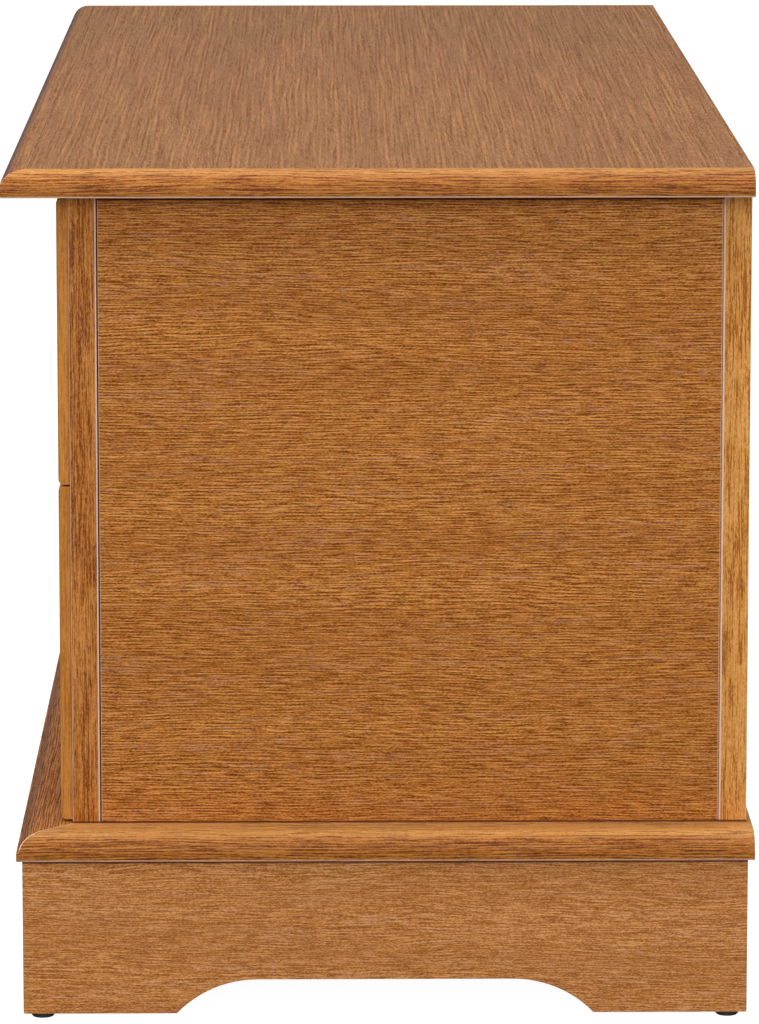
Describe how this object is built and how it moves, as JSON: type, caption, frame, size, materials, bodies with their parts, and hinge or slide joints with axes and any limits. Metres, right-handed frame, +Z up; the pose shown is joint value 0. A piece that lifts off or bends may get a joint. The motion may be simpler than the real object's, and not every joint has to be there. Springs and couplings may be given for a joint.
{
  "type": "media cabinet",
  "caption": "Long low oak cabinet with a moulded top and base board, an arched plinth, lipped drawers at both ends and an open shelf bay between them.",
  "frame": {"origin": "on the floor under the centre of the outline", "axes": "+X along the length to the right-hand end, -Y out of the front, +Z up"},
  "size_m": [1.2146, 0.5114, 0.583],
  "materials": {
    "oak_panel": "satin lacquered golden oak veneer",
    "oak_solid": "satin lacquered golden oak",
    "drawer_wood": "clear lacquered birch",
    "back_board": "matt printed hardboard",
    "knob_metal": "dark bronze lacquer",
    "black_plastic": "moulded",
    "steel": "zinc plated"
  },
  "bodies": {
    "case": {"top_panel": "oak_panel", "top_edge_front": "oak_solid", "base_panel": "oak_panel", "base_edge_front": "oak_solid", "plinth_front": "oak_panel", "plinth_rear": "oak_panel", "corner_blocks": "drawer_wood", "floor_glides": "black_plastic", "top_rail": "oak_solid", "bottom_rail": "oak_solid", "rear_top_rail": "oak_solid", "back_panel": "back_board", "cable_grommet": "black_plastic", "back_screws": "steel", "shelf": "oak_panel", "shelf_pins": "steel", "drawer_runners": "drawer_wood", "top_edge_left": "oak_solid", "top_edge_right": "oak_solid", "base_edge_left": "oak_solid", "base_edge_right": "oak_solid", "plinth_left": "oak_panel", "plinth_right": "oak_panel", "side_panel_left": "oak_panel", "side_panel_right": "oak_panel", "rear_post_left": "oak_solid", "rear_post_right": "oak_solid", "end_stile_left": "oak_solid", "end_stile_right": "oak_solid", "mid_stile_left": "oak_solid", "mid_stile_right": "oak_solid", "drawer_rail_left": "oak_solid", "drawer_rail_right": "oak_solid", "partition_left": "oak_panel", "partition_right": "oak_panel"},
    "drawer_upper_left": {"drawer_upper_left_front": "oak_solid", "drawer_upper_left_knob": "knob_metal", "drawer_upper_left_side_left": "drawer_wood", "drawer_upper_left_side_right": "drawer_wood", "drawer_upper_left_back": "drawer_wood", "drawer_upper_left_bottom": "drawer_wood"},
    "drawer_upper_right": {"drawer_upper_right_front": "oak_solid", "drawer_upper_right_knob": "knob_metal", "drawer_upper_right_side_left": "drawer_wood", "drawer_upper_right_side_right": "drawer_wood", "drawer_upper_right_back": "drawer_wood", "drawer_upper_right_bottom": "drawer_wood"},
    "drawer_lower_left": {"drawer_lower_left_front": "oak_solid", "drawer_lower_left_knob": "knob_metal", "drawer_lower_left_side_left": "drawer_wood", "drawer_lower_left_side_right": "drawer_wood", "drawer_lower_left_back": "drawer_wood", "drawer_lower_left_bottom": "drawer_wood"},
    "drawer_lower_right": {"drawer_lower_right_front": "oak_solid", "drawer_lower_right_knob": "knob_metal", "drawer_lower_right_side_left": "drawer_wood", "drawer_lower_right_side_right": "drawer_wood", "drawer_lower_right_back": "drawer_wood", "drawer_lower_right_bottom": "drawer_wood"}
  },
  "joints": [
    {"name": "drawer_upper_left_slide", "type": "slide", "parent": "case", "child": "drawer_upper_left", "axis": [0, -1, 0], "range_m": [0, 0.3]},
    {"name": "drawer_upper_right_slide", "type": "slide", "parent": "case", "child": "drawer_upper_right", "axis": [0, -1, 0], "range_m": [0, 0.3]},
    {"name": "drawer_lower_left_slide", "type": "slide", "parent": "case", "child": "drawer_lower_left", "axis": [0, -1, 0], "range_m": [0, 0.3]},
    {"name": "drawer_lower_right_slide", "type": "slide", "parent": "case", "child": "drawer_lower_right", "axis": [0, -1, 0], "range_m": [0, 0.3]}
  ]
}
